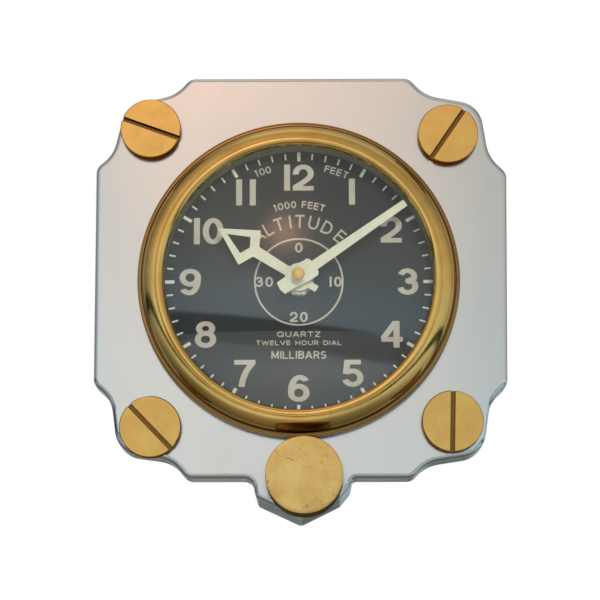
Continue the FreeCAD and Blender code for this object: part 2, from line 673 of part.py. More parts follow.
def coil_bobbin():
    """Plastic former: a thin sleeve on the core with a flange at each end."""
    sleeve = block(COIL_X[0], COIL_X[1], COIL_Y - 0.7, COIL_Y + 0.7, COIL_Z - 1.5, COIL_Z + 1.5)
    for x0 in (COIL_X[0], COIL_X[1] - 0.8):
        sleeve = sleeve.fuse(block(x0, x0 + 0.8, COIL_Y - 2.4, COIL_Y + 2.4, COIL_Z - 3.3, COIL_Z + 3.3))
    core = block(-10, 18, CORE_Y[0], CORE_Y[1], COIL_Z - 1.2, COIL_Z + 1.2)
    return sleeve.cut(core)


def coil_winding():
    x0 = COIL_X[0] + 0.8
    x1 = COIL_X[1] - 0.8
    body = block(x0, x1, COIL_Y - 2.1, COIL_Y + 2.1, COIL_Z - 3.0, COIL_Z + 3.0)
    long_edges = [edge for edge in body.Edges if edge.BoundBox.XLength > 5]
    body = body.makeFillet(1.0, long_edges)
    return body.cut(block(x0 - 1, x1 + 1, COIL_Y - 0.7, COIL_Y + 0.7, COIL_Z - 1.5, COIL_Z + 1.5))


def circuit_board():
    return block(-26, -16.5, -21.6, -20.8, -6, 18)


def quartz_crystal():
    """Small can lying on the board, with its flanged base toward the bottom."""
    foot = Vector(-23.5, -22.75, 8)
    can = Part.makeCylinder(1.0, 6.0, foot, Vector(0, 0, 1))
    flange = Part.makeCylinder(1.15, 0.8, foot, Vector(0, 0, 1))
    return can.fuse(flange).removeSplitter()


def driver_chip():
    """Potted blob of the clock circuit."""
    dome = Part.makeSphere(3.4, Vector(-21.2, -19.4, 1.0))
    return dome.common(block(-26, -16.5, -23.4, -21.6, -3, 5))


def terminal(side):
    """Sprung contact strip at one end of the battery bay; side is -1 or +1."""
    inner = MOVEMENT_HALF - MOVEMENT_WALL
    reach = 1.55 if side > 0 else 1.75
    strip = block(inner - 0.4, inner, FRONT_INNER, MOVEMENT_BACK - 2, -24.8, -13.5)
    foot = block(inner - reach, inner, CELL_Y - 3, CELL_Y + 3, CELL_Z - 3, CELL_Z + 3)
    body = strip.fuse(foot).removeSplitter()
    if side < 0:
        body = body.mirror(Vector(0, 0, 0), Vector(1, 0, 0))
    return body


def aa_battery():
    """Cell with its positive button toward +X."""
    start = -25.2
    can = Part.makeCylinder(CELL_RADIUS, CELL_LENGTH, Vector(start, CELL_Y, CELL_Z), Vector(1, 0, 0))
    can = can.makeFillet(0.6, can.Edges[:1] + can.Edges[2:3])
    button = Part.makeCylinder(2.6, 1.4, Vector(start + CELL_LENGTH - 0.01, CELL_Y, CELL_Z), Vector(1, 0, 0))
    return can.fuse(button)


# ---- knob -------------------------------------------------------------------------------

def knob_brass():
    body = rod(KNOB_RADIUS, KNOB_FRONT, KNOB_BACK, KNOB_X, KNOB_Z)
    front_edge = [edge for edge in body.Edges if edge.BoundBox.YMax < KNOB_FRONT + 0.01]
    body = body.makeFillet(0.8, front_edge)
    body = body.cut(rod(KNOB_SHAFT_RADIUS, KNOB_FRONT + 5, KNOB_BACK + 1, KNOB_X, KNOB_Z))
    set_hole = Part.makeCylinder(1.5, KNOB_RADIUS, Vector(KNOB_X, KNOB_BACK - 6, KNOB_Z), Vector(0, 0, -1))
    return body.cut(set_hole)


def knob_set_screw():
    depth = KNOB_RADIUS - KNOB_SHAFT_RADIUS - 2.0
    top = KNOB_Z - KNOB_SHAFT_RADIUS - 0.02
    body = Part.makeCylinder(1.5, depth, Vector(KNOB_X, KNOB_BACK - 6, top), Vector(0, 0, -1))
    outer_end = top - depth
    slot = block(KNOB_X - 0.25, KNOB_X + 0.25, KNOB_BACK - 9, KNOB_BACK - 3, outer_end - 1, outer_end + 0.8)
    return body.cut(slot)


def knob_shaft():
    body = rod(KNOB_SHAFT_RADIUS, KNOB_FRONT + 5, -1.2, KNOB_X, KNOB_Z)
    return body.cut(ring(5.0, 2.2, -3.95, -3.05, KNOB_X, KNOB_Z))


def knob_bushing():
    barrel = ring(KNOB_BUSH_RADIUS, KNOB_SHAFT_RADIUS + 0.06, FRONT, -CLIP_POCKET_DEPTH, KNOB_X, KNOB_Z)
    return barrel.fuse(ring(7.5, KNOB_SHAFT_RADIUS + 0.06, FRONT - 0.8, FRONT, KNOB_X, KNOB_Z))


def knob_felt_washer():
    return ring(7.0, KNOB_SHAFT_RADIUS, KNOB_BACK, KNOB_BACK + 0.7, KNOB_X, KNOB_Z)


def knob_clip():
    body = ring(5.6, 2.2, -3.9, -3.1, KNOB_X, KNOB_Z)
    return body.cut(block(KNOB_X - 1.4, KNOB_X + 1.4, -5, -1, KNOB_Z - 8, KNOB_Z))


# ---- export -----------------------------------------------------------------------------

def main():
    os.makedirs("parts", exist_ok=True)
    save(case_casting(), "case_casting")
    save(case_drum(), "case_drum")
    save(case_tongue(), "case_tongue")
    save(Part.makeCompound([corner_screw(x, z, slot) for x, z, slot in CORNER_SCREWS]), "corner_screws")
    save(rear_cover(), "rear_cover")
    cover_screws = []
    for x, z in rear_cover_screw_places():
        cover_screws.append(countersunk_screw(x, z, 0.0, 8.0, COVER_SCREW_RADIUS, 2.75))
    save(Part.makeCompound(cover_screws), "rear_cover_screws")
    save(hanger_plate(), "hanger_plate")
    save(Part.makeCompound([hanger_rivet(x, 56.0) for x in (-18.0, 18.0)]), "hanger_rivets")
    save(bezel_ring(), "bezel_ring")
    save(Part.makeCompound(bezel_screws()), "bezel_screws")
    save(glass_lens(), "glass_lens")
    save(glass_gasket(), "glass_gasket")
    save(rehaut_ring(), "rehaut_ring")
    save(dial_plate(), "dial_plate")
    save(hour_hand(), "hour_hand")
    save(minute_hand(), "minute_hand")
    save(cap_nut(), "cap_nut")
    save(hour_wheel(), "hour_wheel")
    save(minute_pinion(), "minute_pinion")
    save(motion_wheel(), "motion_wheel")
    save(set_wheel(), "set_wheel")
    save(centre_wheel(), "centre_wheel")
    save(third_wheel(), "third_wheel")
    save(seconds_wheel(), "seconds_wheel")
    save(intermediate_wheel(), "intermediate_wheel")
    save(rotor_pinion(), "rotor_pinion")
    save(rotor_magnet(), "rotor_magnet")
    save(movement_front_case(), "movement_front_case")
    save(movement_back_cover(), "movement_back_cover")
    save(middle_plate(), "middle_plate")
    save(fixing_bush(), "fixing_bush")
    save(cushion_washer(), "cushion_washer")
    save(fixing_washer(), "fixing_washer")
    save(fixing_nut(), "fixing_nut")
    save(stator_plate(), "stator_plate")
    save(coil_core(), "coil_core")
    save(coil_bobbin(), "coil_bobbin")
    save(coil_winding(), "coil_winding")
    save(circuit_board(), "circuit_board")
    save(quartz_crystal(), "quartz_crystal")
    save(driver_chip(), "driver_chip")
    save(terminal(1), "positive_terminal")
    save(terminal(-1), "negative_terminal")
    save(aa_battery(), "aa_battery")
    save(knob_brass(), "knob_brass")
    save(knob_set_screw(), "knob_set_screw")
    save(knob_shaft(), "knob_shaft")
    save(knob_bushing(), "knob_bushing")
    save(knob_felt_washer(), "knob_felt_washer")
    save(knob_clip(), "knob_clip")


main()
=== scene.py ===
"""Instrument-style wall clock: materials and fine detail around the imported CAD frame, in metres."""

import json
import math

import bmesh
import bpy
from mathutils import Matrix, Vector


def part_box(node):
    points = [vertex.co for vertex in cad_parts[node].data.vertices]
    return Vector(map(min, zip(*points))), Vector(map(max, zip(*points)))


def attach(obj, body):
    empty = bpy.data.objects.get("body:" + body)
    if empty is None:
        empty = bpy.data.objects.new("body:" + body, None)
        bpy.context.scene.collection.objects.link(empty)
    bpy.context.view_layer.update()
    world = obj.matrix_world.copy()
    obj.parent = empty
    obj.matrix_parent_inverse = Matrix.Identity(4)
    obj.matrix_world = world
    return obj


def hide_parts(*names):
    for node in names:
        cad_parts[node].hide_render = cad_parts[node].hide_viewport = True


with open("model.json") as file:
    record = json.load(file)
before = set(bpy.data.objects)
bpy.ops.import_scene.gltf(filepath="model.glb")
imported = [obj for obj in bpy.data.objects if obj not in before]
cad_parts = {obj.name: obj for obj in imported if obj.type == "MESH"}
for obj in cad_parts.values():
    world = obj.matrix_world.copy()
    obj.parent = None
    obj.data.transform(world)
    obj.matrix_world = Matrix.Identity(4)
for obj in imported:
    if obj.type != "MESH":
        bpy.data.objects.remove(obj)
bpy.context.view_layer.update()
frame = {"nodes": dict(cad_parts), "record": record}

MM = 0.001

# Places taken from the CAD frame.
PLATE_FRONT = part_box("case_casting")[0].y
DIAL_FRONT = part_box("dial_plate")[0].y
SCREW_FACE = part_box("corner_screws")[0].y
KNOB_LOW, KNOB_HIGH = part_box("knob_brass")
KNOB_CENTRE = (KNOB_LOW + KNOB_HIGH) / 2
KNOB_RADIUS = (KNOB_HIGH.x - KNOB_LOW.x) / 2

# Camera: below the clock, looking up at it. The middle of the plate's front shows CAMERA_SIDE to the
# right of the picture's middle and CAMERA_RISE above it.
CAMERA_PITCH = math.radians(11.6)
CAMERA_YAW = math.radians(0.6)
CAMERA_DISTANCE = 1067 * MM
CAMERA_SIDE = -0.63 * MM
CAMERA_RISE = 9.6 * MM
CAMERA_LENS = 132
CAMERA_SENSOR = 36

# Brightness of the studio by direction: along Y (-1 is in front of the dial), Z (height) and X (side).
# The bands of height tilt with X by ROOM_SLANT, and matt surfaces get MATT_SHARE of the light.
ROOM_FACING = (
    (-1.00, (1.00, 1.00, 1.00)),
    (-0.80, (0.98, 0.98, 0.98)),
    (-0.45, (0.90, 0.91, 0.92)),
    (-0.15, (0.80, 0.82, 0.84)),
    (0.05, (0.72, 0.74, 0.76)),
    (0.25, (0.44, 0.46, 0.48)),
    (0.60, (0.66, 0.68, 0.68)),
    (0.88, (0.64, 0.67, 0.66)),
    (1.00, (0.58, 0.60, 0.54)),
)
ROOM_HEIGHT = (
    (-1.00, (0.24, 0.22, 0.19)),
    (-0.60, (0.36, 0.35, 0.32)),
    (-0.24, (0.86, 0.93, 0.96)),
    (-0.165, (0.78, 0.86, 0.90)),
    (-0.145, (0.04, 0.05, 0.05)),
    (-0.035, (0.03, 0.04, 0.04)),
    (-0.015, (0.90, 1.01, 1.08)),
    (0.09, (0.94, 1.03, 1.05)),
    (0.17, (0.86, 0.90, 0.89)),
    (0.26, (0.84, 0.78, 0.71)),
    (0.36, (0.80, 0.70, 0.62)),
    (0.56, (0.62, 0.55, 0.49)),
    (0.80, (0.50, 0.46, 0.42)),
    (0.92, (0.90, 0.86, 0.80)),
    (1.00, (0.95, 0.92, 0.88)),
)
ROOM_SIDE = (
    (-1.00, (0.40, 0.44, 0.48)),
    (-0.70, (0.64, 0.70, 0.76)),
    (-0.35, (0.95, 1.00, 1.02)),
    (-0.10, (1.00, 1.00, 1.00)),
    (0.02, (0.97, 0.98, 0.98)),
    (0.10, (0.82, 0.88, 0.90)),
    (0.20, (0.72, 0.82, 0.88)),
    (0.45, (0.74, 0.85, 0.92)),
    (1.00, (0.80, 0.88, 0.94)),
)
ROOM_SLANT = 0.13
MATT_SHARE = 0.7

# Warm glow in one direction, by the cosine of the angle to it.
GLOW_TOWARDS = (-0.075, -0.915, 0.396)
GLOW = (
    (0.980, (0.0, 0.0, 0.0)),
    (0.991, (0.16, 0.08, 0.04)),
    (0.9965, (0.80, 0.41, 0.25)),
    (1.000, (2.2, 1.15, 0.7)),
)

FLOOR_HEIGHT = -0.42
FLOOR_REACH = 6

# Depths in millimetres behind the face of a screw or the knob over which its colour goes to the painted shade
# of the wall and then to that of the floor of the slot, which is painted shade together with dirt.
WALL_SHADE_FADE = (0.35, 0.6)
SHADE_AND_GRIME_FADE = (1.9, 2.35)

# Bezel, in millimetres: radii from the axis, and heights in front of the plate.
BEZEL_OUTER = 77.75
BEZEL_BORE = 65.0
LIP_BACK = 8.25
FLANGE_TOP = 5.0
SPIGOT_OUTER = 71.6
SPIGOT_INNER = 67.6
SPIGOT_END = -5.2
REEDING_TEETH = 600
REEDING_DEPTH = 0.25

# Knob: rounded rim, bevelled back, and a band of diamond knurl between two plain margins.
KNOB_INSET = 0.02 * MM
KNOB_RIM = 0.35 * MM
KNOB_BEVEL_DEPTH = 0.5 * MM
KNOB_BEVEL_LENGTH = 0.8 * MM
KNURL_FRONT_MARGIN = 0.95 * MM
KNURL_BACK_MARGIN = 1.65 * MM
KNURL_DEPTH = 0.35 * MM
KNURL_ROWS = 30
KNURL_STEPS = 220

# Printed sleeve of the cell: where along X its bright band and its bare tip begin.
SLEEVE_BAND = 10 * MM
SLEEVE_TIP = 23.7 * MM
SLEEVE_FADE = 0.1 * MM

# Dial print. Each stroke of a character lies STROKE_STEP higher than the one before, and a stroke whose
# ends are nearer than CLOSED_GAP is a loop.
INK_THICKNESS = 0.06 * MM
STROKE_STEP = 0.004 * MM
CLOSED_GAP = 0.001 * MM
PRINT_FRONT = DIAL_FRONT - INK_THICKNESS

# Marks of the minute track, in millimetres: inner radius, outer radius, width.
HOUR_MARK = (60.4, 64.9, 1.6)
MINUTE_MARK = (61.3, 64.4, 0.8)

# Hour numerals, in millimetres: height, widths of upright and level strokes, radius at which they are
# centred, and how much farther out some of them stand.
NUMERAL_HEIGHT = 13.1
NUMERAL_STROKES = (2.95, 2.3)
NUMERAL_RADIUS = 52.0
NUMERAL_SHIFTS = {3: 0.8, 6: 0.4, 9: 0.7, 10: -1.3, 11: -0.3, 12: 0.2}

# Small circle, in millimetres: its radius and line, and the height, strokes and places of its numbers.
SUBDIAL_RADIUS = 21.3
SUBDIAL_LINE = 0.85
SUBDIAL_HEIGHT = 5.0
SUBDIAL_STROKES = (1.0, 0.85)
SUBDIAL_NUMBERS = {"0": (0, 17.0), "10": (17.9, 0), "20": (0, -17.4), "30": (-16.8, 0)}

# Arched words: clock angles of the letters, then in millimetres the radius at their feet and their height,
# then how far they are widened, and the stroke width in millimetres.
ARCHES = (
    ("ALTITUDE", (-41, -29.2, -18.6, -8, 1, 13.9, 27.3, 41.9), 26.9, 6.5, 0.92, 0.85),
    ("1000FEET", (-17.4, -13.4, -8.6, -3.8, 4.0, 8.5, 12.9, 17.3), 36.9, 3.4, 0.98, 0.62),
    ("100", (-20.9, -18.1, -15.0), 56.3, 3.5, 1.0, 0.56),
    ("FEET", (13.9, 16.8, 19.9, 23.2), 56.4, 3.4, 1.0, 0.56),
)

# Level words, in millimetres: height of the middle above the axis, letter height, length, stroke width.
LEVEL_WORDS = (
    ("QUARTZ", -25.9, 2.6, 21.0, 0.50),
    ("TWELVE HOUR DIAL", -30.15, 2.2, 41.3, 0.44),
    ("MILLIBARS", -36.05, 3.7, 26.3, 0.66),
)

# Units in which the digits are drawn, and what one digit takes of a number's width.
DIGIT_HEIGHT = 13.1
DIGIT_WIDTH = 10.2
ONE_WIDTH = 3.0
DIGIT_GAP = 1.3
ONES_GAP = 3.7

# Widths of the letters in a level line, as shares of their height, and the gap after each.
LETTER_WIDTHS = {
    "A": 0.9, "B": 0.72, "D": 0.84, "E": 0.7, "H": 0.86, "I": 0.16, "L": 0.66, "M": 0.96, "O": 0.92,
    "Q": 0.94, "R": 0.76, "S": 0.68, "T": 0.8, "U": 0.84, "V": 0.88, "W": 1.2, "Z": 0.78, " ": 0.42,
}
LETTER_GAP = 0.2


def srgb(*levels):
    """Linear colour of the 8-bit screen levels of red, green and blue."""
    shares = [level / 255 for level in levels]
    return tuple(c / 12.92 if c <= 0.04 else ((c + 0.055) / 1.055) ** 2.4 for c in shares) + (1,)


# ---------------------------------------------------------------- materials


class Nodes:
    """A node tree, and short calls that add nodes to it."""

    def __init__(self, tree):
        self.tree = tree

    def add(self, kind, **values):
        node = self.tree.nodes.new(kind)
        for name, value in values.items():
            setattr(node, name, value)
        return node

    def link(self, source, target):
        self.tree.links.new(source, target)

    def feed(self, value, target):
        """Sets a socket to a number or colour, or links a node's output to it."""
        if isinstance(value, (int, float, tuple)):
            target.default_value = value
        else:
            self.link(value, target)

    def span(self, source, low, high, out_low=0.0, out_high=1.0):
        """Maps low..high of a number to out_low..out_high."""
        node = self.add("ShaderNodeMapRange", clamp=True)
        for name, value in (("From Min", low), ("From Max", high), ("To Min", out_low), ("To Max", out_high)):
            node.inputs[name].default_value = value
        self.link(source, node.inputs["Value"])
        return node.outputs["Result"]

    def maths(self, operation, first, second=0.0):
        node = self.add("ShaderNodeMath", operation=operation)
        self.link(first, node.inputs[0])
        self.feed(second, node.inputs[1])
        return node.outputs["Value"]

    def blend(self, factor, first, second, blend_type="MIX"):
        """Colour that goes from first to second; each may be a colour or a node's output."""
        node = self.add("ShaderNodeMix", data_type="RGBA", blend_type=blend_type)
        colours = [socket for socket in node.inputs if socket.type == "RGBA"]
        self.feed(factor, node.inputs["Factor"])
        self.feed(first, colours[0])
        self.feed(second, colours[1])
        return next(socket for socket in node.outputs if socket.type == "RGBA")

    def ramp(self, source, stops):
        """Colour that passes through (value, colour) stops as a number grows."""
        low, high = stops[0][0], stops[-1][0]
        node = self.add("ShaderNodeValToRGB")
        self.link(self.span(source, low, high), node.inputs["Fac"])
        elements = node.color_ramp.elements
        elements[0].color = stops[0][1] + (1,)
        elements[1].color = stops[-1][1] + (1,)
        for value, colour in stops[1:-1]:
            elements.new((value - low) / (high - low)).color = colour + (1,)
        return node.outputs["Color"]


class Shader(Nodes):
    """A material with a Principled shader, and what its textures need."""

    def __init__(self, name):
        self.material = bpy.data.materials.new(name)
        self.material.use_nodes = True
        super().__init__(self.material.node_tree)
        self.surface = self.tree.nodes["Principled BSDF"]
        self.place = self.add("ShaderNodeTexCoord").outputs["Object"]
        self.height = None

    def set(self, **values):
        for name, value in values.items():
            self.surface.inputs[name.replace("_", " ")].default_value = value

    def noise(self, scale, detail=4.0, roughness=0.55, distortion=0.0):
        node = self.add("ShaderNodeTexNoise")
        node.inputs["Scale"].default_value = scale
        node.inputs["Detail"].default_value = detail
        node.inputs["Roughness"].default_value = roughness
        node.inputs["Distortion"].default_value = distortion
        self.link(self.place, node.inputs["Vector"])
        return node.outputs["Fac"]

    def cells(self, scale):
        node = self.add("ShaderNodeTexVoronoi")
        node.inputs["Scale"].default_value = scale
        self.link(self.place, node.inputs["Vector"])
        return node.outputs["Distance"]

    def clouds(self, scale, detail=4.0, roughness=0.55):
        """Soft patches, from 0 to 1."""
        return self.span(self.noise(scale, detail, roughness), 0.35, 0.65)

    def specks(self, scale, core, edge):
        """1 in small dots, 0 between them."""
        return self.span(self.cells(scale), core, edge, 1.0, 0.0)

    def axis(self, name):
        node = self.add("ShaderNodeSeparateXYZ")
        self.link(self.place, node.inputs["Vector"])
        return node.outputs[name]

    def power_of_place(self, name, reach, power):
        """Grows from 0 at the middle of an axis to 1 at its reach, mostly near the end."""
        share = self.maths("ABSOLUTE", self.maths("DIVIDE", self.axis(name), reach))
        return self.maths("POWER", share, power)

    def lines(self, scale, width, distortion=1.5):
        """1 along thin wandering lines, 0 between them."""
        field = self.noise(scale, 2.0, 0.5, distortion)
        away = self.maths("ABSOLUTE", self.maths("SUBTRACT", field, 0.5))
        return self.span(away, 0.0, width, 1.0, 0.0)

    def colour(self, source):
        self.link(source, self.surface.inputs["Base Color"])

    def rough(self, source, low, high):
        self.link(self.span(source, 0.3, 0.7, low, high), self.surface.inputs["Roughness"])

    def bump(self, source, depth, strength=1.0):
        node = self.add("ShaderNodeBump")
        node.inputs["Strength"].default_value = strength
        node.inputs["Distance"].default_value = depth
        self.link(source, node.inputs["Height"])
        if self.height:
            self.link(self.height, node.inputs["Normal"])
        self.height = node.outputs["Normal"]
        self.link(self.height, self.surface.inputs["Normal"])


def cast_aluminium():
    """Polished casting: smooth, bright, faintly clouded, with few pits, and rolled off near its two sides."""
    s = Shader("cast_aluminium")
    s.set(Metallic=1.0)
    pits = s.maths("MULTIPLY", s.specks(150, 0.02, 0.06), s.span(s.noise(38, 2), 0.57, 0.63))
    tint = s.blend(s.clouds(9, 2), srgb(218, 216, 214), srgb(223, 219, 215))
    s.colour(s.blend(pits, tint, srgb(168, 160, 150)))
    s.rough(s.noise(70, 4, 0.6), 0.19, 0.23)
    s.bump(s.power_of_place("X", 0.1, 5), -1.6 * MM)
    s.bump(s.noise(26, 2), 0.08 * MM, 0.12)
    s.bump(pits, -0.02 * MM, 0.3)
    return s.material


def brass(name, bright, dull, roughness, marks=0.0, face=None, grime_and_shade=(122, 90, 48), metallic=1.0):
    """Worn brass: clouded, with thin brown lines and dark pits in the amount marks.

    The Y of the polished face is face: behind it, painted shade darkens the brass, and deeper down it takes
    the colour given for painted shade together with dirt.
    """
    s = Shader(name)
    s.set(Metallic=metallic, Specular_Tint=srgb(190, 150, 92))
    tint = s.blend(s.clouds(70, 5, 0.6), srgb(*bright), srgb(*dull))
    scratches = s.maths("MULTIPLY", s.lines(75, 0.009, 2.5), s.span(s.noise(60, 3), 0.46, 0.64))
    scratches = s.maths("MULTIPLY", scratches, marks)
    pits = s.maths("MULTIPLY", s.specks(700, 0.03, 0.14), s.span(s.noise(120, 3), 0.58, 0.68))
    pits = s.maths("MULTIPLY", pits, marks)
    brass_colour = s.blend(scratches, tint, srgb(156, 92, 40))
    brass_colour = s.blend(pits, brass_colour, srgb(92, 62, 32))
    if face is not None:
        # Painted shade: behind the face the side walls go dark, and deeper down the walls and slots take
        # painted shade mixed with dirt.
        depth = s.axis("Y")
        for fade, shade in ((WALL_SHADE_FADE, (110, 84, 48)), (SHADE_AND_GRIME_FADE, grime_and_shade)):
            reached = s.span(depth, face + fade[0] * MM, face + fade[1] * MM)
            brass_colour = s.blend(reached, brass_colour, srgb(*shade))
    s.colour(brass_colour)
    s.rough(s.noise(160, 4, 0.6), roughness - 0.04, roughness + 0.05)
    s.bump(s.noise(60, 2), 0.01 * MM, 0.15)
    s.bump(scratches, -0.02 * MM, 0.5 * marks)
    return s.material


def bezel_brass():
    """Polished brass with fine turned lines round the axis, with painted shade darkening it on the flange."""
    s = Shader("bezel_brass")
    s.set(Metallic=1.0)
    flat = s.add("ShaderNodeMapping")
    flat.inputs["Scale"].default_value = (1, 0, 1)
    s.link(s.place, flat.inputs["Vector"])
    radius = s.add("ShaderNodeVectorMath", operation="LENGTH")
    s.link(flat.outputs["Vector"], radius.inputs[0])
    rings = s.add("ShaderNodeTexNoise", noise_dimensions="1D")
    rings.inputs["Scale"].default_value = 2600
    rings.inputs["Detail"].default_value = 3
    s.link(radius.outputs["Value"], rings.inputs["W"])
    pits = s.maths("MULTIPLY", s.specks(330, 0.02, 0.1), s.span(s.noise(70, 3), 0.55, 0.63))
    tint = s.blend(s.clouds(45, 5, 0.6), srgb(234, 192, 112), srgb(218, 174, 96))
    tint = s.blend(pits, tint, srgb(112, 78, 40))
    # Painted shade: below the top of the flange, on its reeded side and the step, the brass goes darker
    # brown.
    flange = s.span(s.axis("Y"), PLATE_FRONT - (FLANGE_TOP + 0.8) * MM, PLATE_FRONT - (FLANGE_TOP - 0.2) * MM)
    s.colour(s.blend(flange, tint, srgb(126, 92, 54)))
    s.rough(s.noise(120, 4), 0.10, 0.18)
    s.bump(rings.outputs["Fac"], 0.008 * MM, 0.2)
    s.bump(pits, -0.04 * MM, 0.5)
    return s.material


def clear_glass():
    """Clear glass that lets the lights reach the dial, with a faint film of dust."""
    s = Shader("glass")
    s.set(Transmission_Weight=1.0, IOR=1.5, Base_Color=(0.985, 0.995, 0.985, 1))
    s.link(s.span(s.noise(45, 4), 0.4, 0.7, 0.0, 0.05), s.surface.inputs["Roughness"])
    path = s.add("ShaderNodeLightPath")
    passing = s.maths("MAXIMUM", path.outputs["Is Shadow Ray"], path.outputs["Is Diffuse Ray"])
    clear = s.add("ShaderNodeBsdfTransparent")
    mix = s.add("ShaderNodeMixShader")
    s.link(passing, mix.inputs["Fac"])
    s.link(s.surface.outputs["BSDF"], mix.inputs[1])
    s.link(clear.outputs["BSDF"], mix.inputs[2])
    s.link(mix.outputs["Shader"], s.tree.nodes["Material Output"].inputs["Surface"])
    return s.material


def dial_black():
    """Matt black paint, a little dusty."""
    s = Shader("dial_black")
    s.set(Specular_IOR_Level=0.35)
    dust = s.maths("MULTIPLY", s.specks(360, 0.03, 0.13), s.span(s.noise(110, 3), 0.50, 0.60))
    tint = s.blend(s.clouds(12, 3), srgb(36, 40, 40), srgb(41, 46, 47))
    s.colour(s.blend(dust, tint, srgb(92, 102, 110)))
    s.rough(s.noise(300, 4), 0.50, 0.60)
    s.bump(s.noise(1800, 2), 0.004 * MM, 0.25)
    return s.material


def paint(name, light, dark, roughness, grain=1800):
    """Painted or printed surface with slight clouding and a fine grain."""
    s = Shader(name)
    s.colour(s.blend(s.clouds(130, 4, 0.6), srgb(*light), srgb(*dark)))
    s.rough(s.noise(400, 4), roughness - 0.06, roughness + 0.06)
    s.bump(s.noise(grain, 3), 0.012 * MM, 0.35)
    return s.material


def metal(name, light, dark, roughness):
    """Plain metal with clouding and a fine surface grain."""
    s = Shader(name)
    s.set(Metallic=1.0)
    s.colour(s.blend(s.clouds(160, 5, 0.6), srgb(*light), srgb(*dark)))
    s.rough(s.noise(500, 4, 0.7), roughness - 0.06, roughness + 0.08)
    s.bump(s.noise(700, 4), 0.012 * MM, 0.3)
    return s.material


def wound_wire():
    """Enamelled copper wire laid in fine turns along X."""
    s = Shader("copper_wire")
    s.set(Metallic=1.0)
    wave = s.add("ShaderNodeTexWave", wave_type="BANDS", bands_direction="X")
    wave.inputs["Scale"].default_value = 1600
    wave.inputs["Distortion"].default_value = 0.6
    s.link(s.place, wave.inputs["Vector"])
    s.colour(s.blend(wave.outputs["Fac"], srgb(120, 58, 34), srgb(206, 122, 78)))
    s.rough(s.noise(300), 0.28, 0.4)
    s.bump(wave.outputs["Fac"], 0.05 * MM, 0.6)
    return s.material


def felt():
    """Dark green felt with matted fibres."""
    s = Shader("felt")
    fibres = s.noise(900, 6, 0.7, 2.5)
    s.colour(s.blend(s.span(fibres, 0.3, 0.7), srgb(46, 66, 48), srgb(86, 104, 80)))
    s.set(Roughness=0.95, Sheen_Weight=0.4)
    s.bump(fibres, 0.15 * MM, 0.7)
    return s.material


def cell_wrap():
    """Printed sleeve of the cell: dark with a bright band at its button end."""
    s = Shader("cell_wrap")
    along = s.axis("X")
    sleeve = srgb(38, 40, 46)
    for begin, shade in ((SLEEVE_BAND, (186, 128, 58)), (SLEEVE_TIP, (200, 200, 196))):
        sleeve = s.blend(s.span(along, begin - SLEEVE_FADE, begin + SLEEVE_FADE), sleeve, srgb(*shade))
    scuffs = s.lines(160, 0.01)
    s.colour(s.blend(scuffs, sleeve, srgb(128, 126, 120)))
    s.rough(s.noise(300), 0.26, 0.4)
    s.bump(scuffs, -0.02 * MM, 0.4)
    return s.material


def pale_floor():
    """Matt pale floor."""
    s = Shader("pale_floor")
    s.colour(s.blend(s.noise(3), (0.88, 0.88, 0.87, 1), (0.84, 0.84, 0.83, 1)))
    s.set(Roughness=0.85)
    return s.material


# Light and dark tone, roughness, and the scale of the grain where it is not the usual one.
PAINTS = {
    "rubber": ((34, 34, 34), (26, 26, 26), 0.75, 900),
    "rehaut_green": ((98, 104, 86), (84, 92, 74), 0.48),
    "hand_cream": ((194, 195, 173), (187, 187, 165), 0.45),
    "gear_plastic": ((226, 222, 208), (214, 208, 192), 0.4),
    "movement_black": ((36, 37, 39), (28, 28, 30), 0.5, 1200),
    "board_green": ((34, 92, 58), (26, 74, 48), 0.4),
    "chip_black": ((22, 22, 24), (30, 30, 32), 0.35),
    "print_cream": ((175, 170, 154), (166, 160, 145), 0.55),
    "print_tick": ((206, 210, 193), (196, 198, 181), 0.5),
}
METALS = {
    "nickel": ((232, 232, 226), (214, 213, 206), 0.26),
    "steel": ((196, 198, 200), (186, 188, 190), 0.32),
    "spring_brass": ((204, 168, 98), (178, 138, 72), 0.3),
    "magnet": ((120, 122, 126), (96, 98, 102), 0.4),
}
MATERIALS = {
    "cast_aluminium": cast_aluminium(),
    "bezel_brass": bezel_brass(),
    # Screw heads: painted shade on their side walls and in their slots.
    "screw_brass": brass("screw_brass", (226, 186, 108), (218, 174, 96), 0.25, face=SCREW_FACE),
    # Knob: painted shade over its knurled side, lighter than on the screws.
    "knob_brass": brass(
        "knob_brass", (240, 202, 128), (224, 180, 106), 0.30,
        marks=1.0, face=KNOB_LOW.y, grime_and_shade=(150, 124, 78)),
    "cap_brass": brass("cap_brass", (220, 186, 116), (210, 174, 104), 0.55, metallic=0.35),
    "glass": clear_glass(),
    "dial_black": dial_black(),
    "copper_wire": wound_wire(),
    "cell_wrap": cell_wrap(),
    "felt": felt(),
}
MATERIALS.update({name: paint(name, *look) for name, look in PAINTS.items()})
MATERIALS.update({name: metal(name, *look) for name, look in METALS.items()})

for part in frame["record"]["subparts"]:
    mesh = frame["nodes"][part["node"]].data
    mesh.materials.clear()
    mesh.materials.append(MATERIALS[part["material_slot"]])


# ---------------------------------------------------------------- mesh help


def place(name, shape, material, body="clock_case"):
    """Makes an object of a bmesh and lets it ride on a CAD body."""
    bmesh.ops.recalc_face_normals(shape, faces=shape.faces)
    mesh = bpy.data.meshes.new(name)
    shape.to_mesh(mesh)
    shape.free()
    mesh.materials.append(MATERIALS[material])
    piece = bpy.data.objects.new(name, mesh)
    bpy.context.scene.collection.objects.link(piece)
    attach(piece, body)
    return piece


